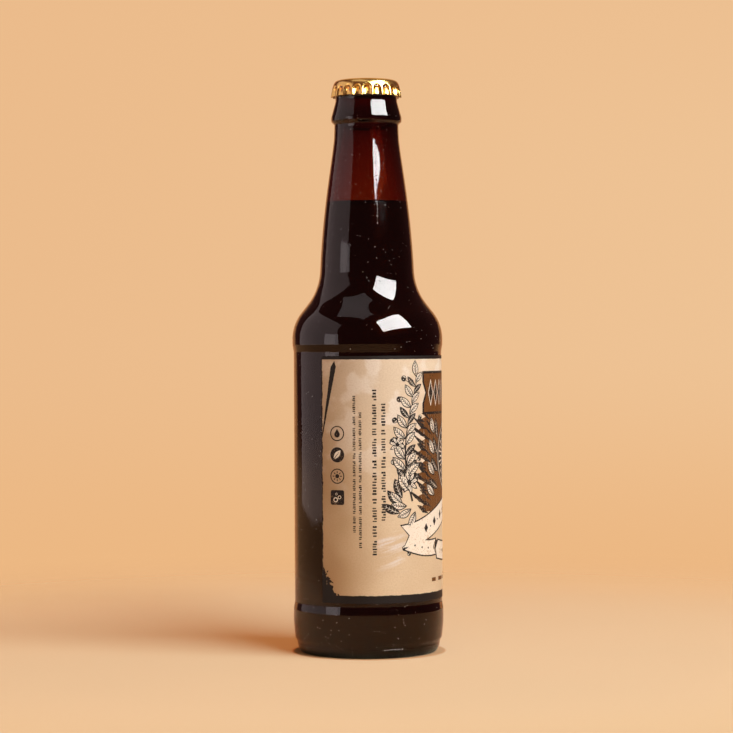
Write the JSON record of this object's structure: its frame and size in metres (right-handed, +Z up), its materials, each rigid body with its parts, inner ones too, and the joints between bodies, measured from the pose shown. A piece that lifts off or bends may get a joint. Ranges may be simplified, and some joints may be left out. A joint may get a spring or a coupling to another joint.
{
  "type": "capped soda bottle",
  "caption": "Amber long-neck glass soda bottle, filled, with a wrap label and a fluted crown cap that lifts off.",
  "frame": {"origin": "centre of the resting ring, on the surface the bottle stands on", "axes": "+Z up the bottle's axis to the crown; -Y out of the middle of the label's front panel; +X to the right of someone who faces that panel"},
  "size_m": [0.0606, 0.0606, 0.2304],
  "materials": {
    "amber_glass": "moulded, glossy",
    "drink": null,
    "adhesive": "dry cold glue",
    "label_paper": "printed, lightly coated",
    "gold_tinplate": "bright gold lacquer over tinplate",
    "liner_plastic": "moulded"
  },
  "bodies": {
    "bottle": {"glass_bottle": "amber_glass", "soda": "drink", "label_adhesive": "adhesive", "wrap_label": "label_paper"},
    "crown": {"crown_shell": "gold_tinplate", "crown_liner": "liner_plastic"}
  },
  "joints": [
    {"name": "crown_lift", "type": "slide", "parent": "bottle", "child": "crown", "axis": [0, 0, 1], "range_m": [0, 0.06]}
  ]
}
